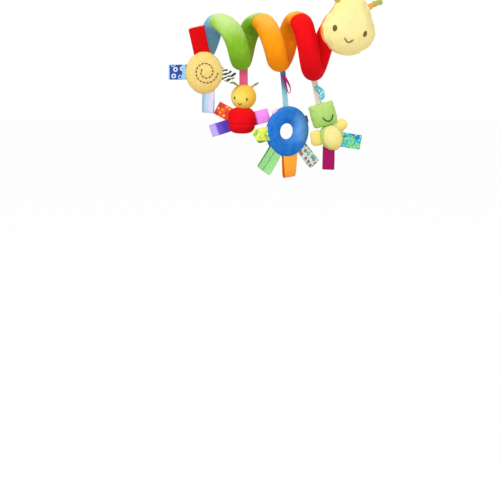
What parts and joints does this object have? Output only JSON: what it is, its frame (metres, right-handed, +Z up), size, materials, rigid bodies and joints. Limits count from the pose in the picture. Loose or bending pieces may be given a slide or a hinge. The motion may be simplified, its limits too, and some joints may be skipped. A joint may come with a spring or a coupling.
{
  "type": "hanging rattle toy",
  "caption": "Padded cloth spiral that winds round a bar, with a smiling head at its end and a snail, a rattling bug, a ring and a frog hanging from it on ribbon straps with folded tags.",
  "frame": {"origin": "middle of the spiral's bore, on the axis of the bar that it is wound round", "axes": "+X along the bar towards the big head, -Y towards the viewer, +Z up"},
  "size_m": [0.343, 0.1142, 0.307],
  "materials": {
    "velour_blue": "short-pile velour",
    "velour_green": "short-pile velour",
    "velour_orange": "short-pile velour",
    "velour_red": "short-pile velour",
    "velour_cream": "short-pile velour",
    "velour_rust": "short-pile velour",
    "velour_gold": "short-pile velour",
    "velour_lime": "short-pile velour",
    "satin_red": "woven satin ribbon",
    "satin_navy": "printed satin ribbon",
    "satin_grey": "printed satin ribbon",
    "satin_sky": "satin ribbon",
    "satin_pink": "satin ribbon",
    "satin_orange": "satin ribbon",
    "satin_purple": "satin ribbon",
    "satin_aqua": "satin ribbon",
    "satin_magenta": "satin ribbon",
    "satin_lime": "printed satin ribbon",
    "satin_olive": "satin ribbon",
    "thread": "embroidery thread",
    "twisted_cord": "twisted cotton cord",
    "stuffing": "polyester fibre filling",
    "crinkle_film": "thin crackling film",
    "capsule_plastic": "moulded plastic",
    "bead_plastic": "moulded plastic",
    "squeaker_plastic": "soft blow-moulded plastic"
  },
  "bodies": {
    "spiral": {"spiral_blue": "velour_blue", "spiral_green": "velour_green", "spiral_orange": "velour_orange", "spiral_red": "velour_red", "spiral_stuffing": "stuffing", "head_face": "velour_cream", "head_back": "velour_rust", "head_stuffing": "stuffing", "head_eye_left": "thread", "head_eye_right": "thread", "head_smile": "thread", "head_feeler_left": "twisted_cord", "head_feeler_right": "twisted_cord", "snail_strap_upper": "satin_red"},
    "snail": {"snail_strap": "satin_red", "snail_front": "velour_gold", "snail_back": "velour_gold", "snail_crinkle_film": "crinkle_film", "snail_stuffing": "stuffing", "snail_stitching": "thread", "snail_tag_navy": "satin_navy", "snail_tag_striped": "satin_grey", "snail_tag_satin": "satin_sky"},
    "bug_strap": {"bug_strap": "satin_pink"},
    "bug": {"bug_head": "velour_gold", "bug_feeler_left": "twisted_cord", "bug_feeler_right": "twisted_cord", "bug_body_front": "velour_red", "bug_body_back": "velour_red", "bug_stuffing": "stuffing", "rattle_capsule_upper": "capsule_plastic", "rattle_capsule_lower": "capsule_plastic", "bug_tag_print": "satin_orange", "bug_tag_satin": "satin_purple", "bug_tag_pink": "satin_pink"},
    "bead_1": {"rattle_bead_1": "bead_plastic"},
    "bead_2": {"rattle_bead_2": "bead_plastic"},
    "bead_3": {"rattle_bead_3": "bead_plastic"},
    "ring_strap": {"ring_strap": "satin_aqua", "ring_side_loop": "satin_magenta"},
    "ring": {"ring_front": "velour_blue", "ring_back": "velour_blue", "ring_stuffing": "stuffing", "ring_tag_yellow": "satin_lime", "ring_tag_leaf": "satin_lime", "ring_tag_orange": "satin_orange", "ring_tag_floral": "satin_aqua", "ring_tag_pale": "satin_pink", "ring_tag_dark": "satin_olive"},
    "frog_strap": {"frog_strap": "satin_grey", "frog_side_loop": "satin_aqua"},
    "frog": {"frog_head": "velour_lime", "frog_belly": "velour_cream", "frog_body": "velour_lime", "frog_stuffing": "stuffing", "frog_squeaker": "squeaker_plastic", "frog_arm_left": "velour_cream", "frog_arm_right": "velour_cream", "frog_tag_print": "satin_aqua", "frog_tag_magenta": "satin_magenta"}
  },
  "joints": [
    {"name": "snail_swing", "type": "hinge", "parent": "spiral", "child": "snail", "pos_m": [-0.11764, -0.0178, 0.0208], "axis": [-0.9763, 0, -0.2164], "range_deg": [0, 75]},
    {"name": "bug_swing", "type": "hinge", "parent": "spiral", "child": "bug_strap", "pos_m": [-0.04216, 0, -0.04754], "axis": [-1, 0, 0], "range_deg": [-45, 45]},
    {"name": "bug_twist", "type": "hinge", "parent": "bug_strap", "child": "bug", "pos_m": [-0.04216, 0, -0.07064], "axis": [0, 0, 1], "range_deg": [-90, 90]},
    {"name": "bead_1_slide", "type": "slide", "parent": "bug", "child": "bead_1", "axis": [0, 0, 1], "range_m": [0, 0.013]},
    {"name": "bead_2_slide", "type": "slide", "parent": "bug", "child": "bead_2", "axis": [0, 0, 1], "range_m": [0, 0.013]},
    {"name": "bead_3_slide", "type": "slide", "parent": "bug", "child": "bead_3", "axis": [0, 0, 1], "range_m": [0, 0.013]},
    {"name": "ring_swing", "type": "hinge", "parent": "spiral", "child": "ring_strap", "pos_m": [0.02176, 0, -0.05029], "axis": [-0.9957, 0, -0.0924], "range_deg": [-45, 45]},
    {"name": "ring_twist", "type": "hinge", "parent": "ring_strap", "child": "ring", "pos_m": [0.02694, 0, -0.10615], "axis": [0, 0, 1], "range_deg": [-5, 80]},
    {"name": "frog_sway", "type": "hinge", "parent": "spiral", "child": "frog_strap", "pos_m": [0.07414, 0, -0.06882], "axis": [0, -1, 0], "range_deg": [-8, 35]},
    {"name": "frog_swing", "type": "hinge", "parent": "frog_strap", "child": "frog", "pos_m": [0.08086, 0, -0.10041], "axis": [-0.9336, 0, -0.3584], "range_deg": [-45, 45]}
  ]
}
